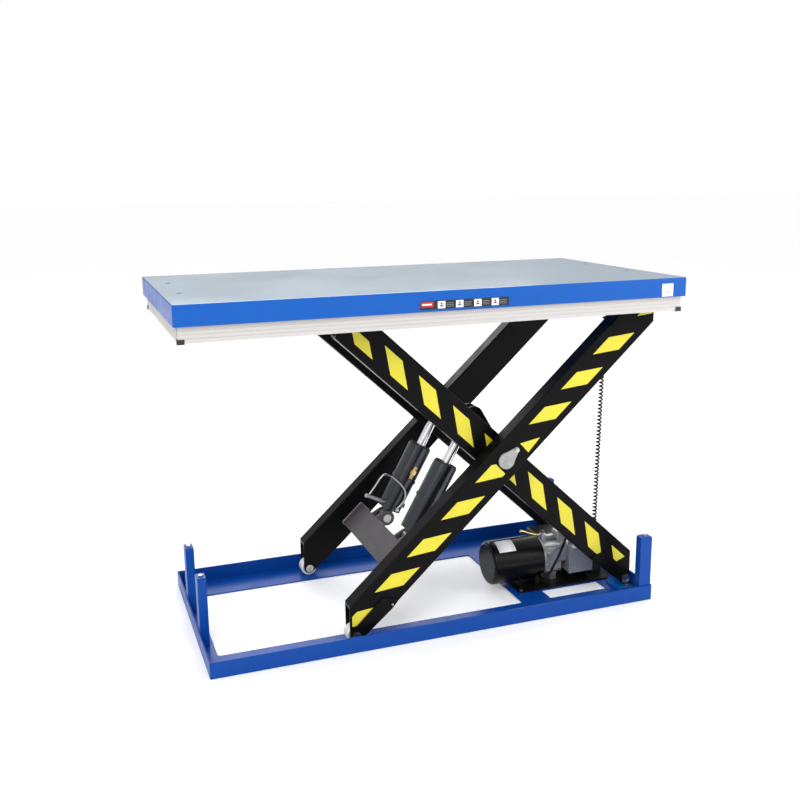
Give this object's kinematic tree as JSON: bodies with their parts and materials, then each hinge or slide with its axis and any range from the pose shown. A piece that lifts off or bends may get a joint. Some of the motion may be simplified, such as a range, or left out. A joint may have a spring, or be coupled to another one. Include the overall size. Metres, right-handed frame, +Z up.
{
  "type": "scissor lift table",
  "caption": "Single scissor hydraulic lift table with crossed box-section arms, rollers, inboard power unit, flat steel platform and a safety trip bar round its skirt.",
  "frame": {"origin": "middle of the base frame's outline, on the floor", "axes": "+X along the length towards the fixed pivots, +Y towards the rear, -Y the front with the motor, +Z up"},
  "size_m": [2, 1, 1.38],
  "materials": {
    "frame_blue": "semi-gloss enamel over sheet steel",
    "arm_black": "semi-gloss enamel over box section",
    "pivot_blue": "lighter semi-gloss enamel",
    "bare_steel": "rolled bare steel",
    "zinc": "zinc plated",
    "rod_chrome": "hard chrome",
    "cylinder_black": "satin black enamel",
    "nylon": "machined nylon",
    "bar_aluminium": "anodised",
    "cap_black": "moulded",
    "motor_grey": "satin enamel",
    "cast_aluminium": "as cast",
    "brass": "machined",
    "bronze": "sintered bush",
    "cord_black": "moulded sheath"
  },
  "bodies": {
    "base": {"base_frame": "frame_blue", "rest_posts": "frame_blue", "base_bolts": "zinc", "lower_pivot_blocks": "pivot_blue", "lower_pivot_pins": "zinc", "power_unit_tray": "cylinder_black", "motor_housing": "motor_grey", "motor_end_cap": "motor_grey", "pump_manifold": "cast_aluminium", "pump_casing": "cast_aluminium", "oil_tank": "cylinder_black", "lowering_valve": "cast_aluminium", "hydraulic_fittings": "brass", "control_box": "cast_aluminium", "control_box_lid": "cast_aluminium", "motor_cable": "cord_black", "curly_cord": "cord_black", "lower_cord_socket": "cap_black"},
    "inner_arms": {"inner_arm_front": "arm_black", "inner_arm_rear": "arm_black", "lug_cross_tube": "arm_black", "rod_lugs": "arm_black", "centre_bushes": "bronze", "upper_axles": "zinc"},
    "outer_arms": {"outer_arm_front": "arm_black", "outer_arm_rear": "arm_black", "cross_beam": "bare_steel", "barrel_lugs": "bare_steel", "centre_pins": "zinc", "keeper_plates": "zinc", "keeper_screws": "zinc", "lower_axles": "zinc", "barrel_pins": "zinc"},
    "lower_roller_front": {"lower_roller_front": "nylon"},
    "lower_roller_rear": {"lower_roller_rear": "nylon"},
    "upper_roller_front": {"upper_roller_front": "nylon"},
    "upper_roller_rear": {"upper_roller_rear": "nylon"},
    "barrel_front": {"cylinder_barrel_front": "cylinder_black", "cylinder_gland_front": "cylinder_black"},
    "barrel_rear": {"cylinder_barrel_rear": "cylinder_black", "cylinder_gland_rear": "cylinder_black", "hydraulic_pipe": "bare_steel", "flow_valve": "brass"},
    "rod_front": {"cylinder_rod_front": "rod_chrome"},
    "rod_rear": {"cylinder_rod_rear": "rod_chrome"},
    "platform": {"platform_deck": "frame_blue", "roller_rails": "frame_blue", "deck_stiffeners": "frame_blue", "upper_pivot_blocks": "pivot_blue", "upper_pivot_pins": "zinc", "trip_switches": "cap_black", "bar_hanger_bolts": "zinc", "upper_cord_clamp": "cap_black"},
    "safety_bar": {"safety_bar_long": "bar_aluminium", "safety_bar_short": "bar_aluminium", "bar_corner_caps": "cap_black"},
    "motor_shaft": {"motor_rotor": "bare_steel", "pump_drive_gear": "bare_steel"},
    "idler_gear": {"pump_idler_gear": "bare_steel"},
    "lowering_button": {"lowering_button": "cap_black"}
  },
  "joints": [
    {"name": "arm_fold", "type": "hinge", "parent": "base", "child": "inner_arms", "pos_m": [0.905, 0, 0.04], "axis": [0, -1, 0], "range_deg": [0, 38.9], "deforming": ["curly_cord"]},
    {"name": "centre_pivot", "type": "hinge", "parent": "inner_arms", "child": "outer_arms", "pos_m": [0.27071, 0, 0.6785], "axis": [0, -1, 0], "range_deg": [-77.8, 0]},
    {"name": "platform_pivot", "type": "hinge", "parent": "outer_arms", "child": "platform", "pos_m": [0.905, 0, 1.317], "axis": [0, -1, 0], "range_deg": [0, 38.9]},
    {"name": "cylinder_swing_front", "type": "hinge", "parent": "outer_arms", "child": "barrel_front", "pos_m": [-0.05813, 0, 0.30954], "axis": [0, -1, 0], "range_deg": [0, 1.4]},
    {"name": "cylinder_swing_rear", "type": "hinge", "parent": "outer_arms", "child": "barrel_rear", "pos_m": [-0.05813, 0, 0.30954], "axis": [0, -1, 0], "range_deg": [0, 1.4]},
    {"name": "rod_stroke_front", "type": "slide", "parent": "barrel_front", "child": "rod_front", "axis": [0.4903, 0, 0.8716], "range_m": [-0.1784, 0]},
    {"name": "rod_stroke_rear", "type": "slide", "parent": "barrel_rear", "child": "rod_rear", "axis": [0.4903, 0, 0.8716], "range_m": [-0.1784, 0]},
    {"name": "lower_roller_front_spin", "type": "hinge", "parent": "outer_arms", "child": "lower_roller_front", "pos_m": [-0.36357, 0, 0.04], "axis": [0, -1, 0], "continuous": true},
    {"name": "lower_roller_rear_spin", "type": "hinge", "parent": "outer_arms", "child": "lower_roller_rear", "pos_m": [-0.36357, 0, 0.04], "axis": [0, -1, 0], "continuous": true},
    {"name": "upper_roller_front_spin", "type": "hinge", "parent": "inner_arms", "child": "upper_roller_front", "pos_m": [-0.36357, 0, 1.317], "axis": [0, -1, 0], "continuous": true},
    {"name": "upper_roller_rear_spin", "type": "hinge", "parent": "inner_arms", "child": "upper_roller_rear", "pos_m": [-0.36357, 0, 1.317], "axis": [0, -1, 0], "continuous": true},
    {"name": "safety_bar_lift", "type": "slide", "parent": "platform", "child": "safety_bar", "axis": [0, 0, 1], "range_m": [0, 0.01]},
    {"name": "motor_spin", "type": "hinge", "parent": "base", "child": "motor_shaft", "pos_m": [0.45, -0.1, 0.122], "axis": [1, 0, 0], "continuous": true},
    {"name": "idler_spin", "type": "hinge", "parent": "base", "child": "idler_gear", "pos_m": [0.682, -0.1, 0.1524], "axis": [1, 0, 0], "continuous": true},
    {"name": "lowering_button_push", "type": "slide", "parent": "base", "child": "lowering_button", "axis": [0, 0, -1], "range_m": [0, 0.003], "stiffness_N_per_m": 1500, "springref_m": -0.003}
  ],
  "couplings": [
    {"joint": "centre_pivot", "follows": "arm_fold", "ratio": -2},
    {"joint": "platform_pivot", "follows": "arm_fold", "ratio": 1},
    {"joint": "cylinder_swing_front", "follows": "arm_fold", "ratio": 0.035782},
    {"joint": "cylinder_swing_rear", "follows": "arm_fold", "ratio": 0.035782},
    {"joint": "rod_stroke_front", "follows": "arm_fold", "m_per_rad": -0.26266},
    {"joint": "rod_stroke_rear", "follows": "arm_fold", "m_per_rad": -0.26266},
    {"joint": "idler_spin", "follows": "motor_spin", "ratio": -1}
  ]
}
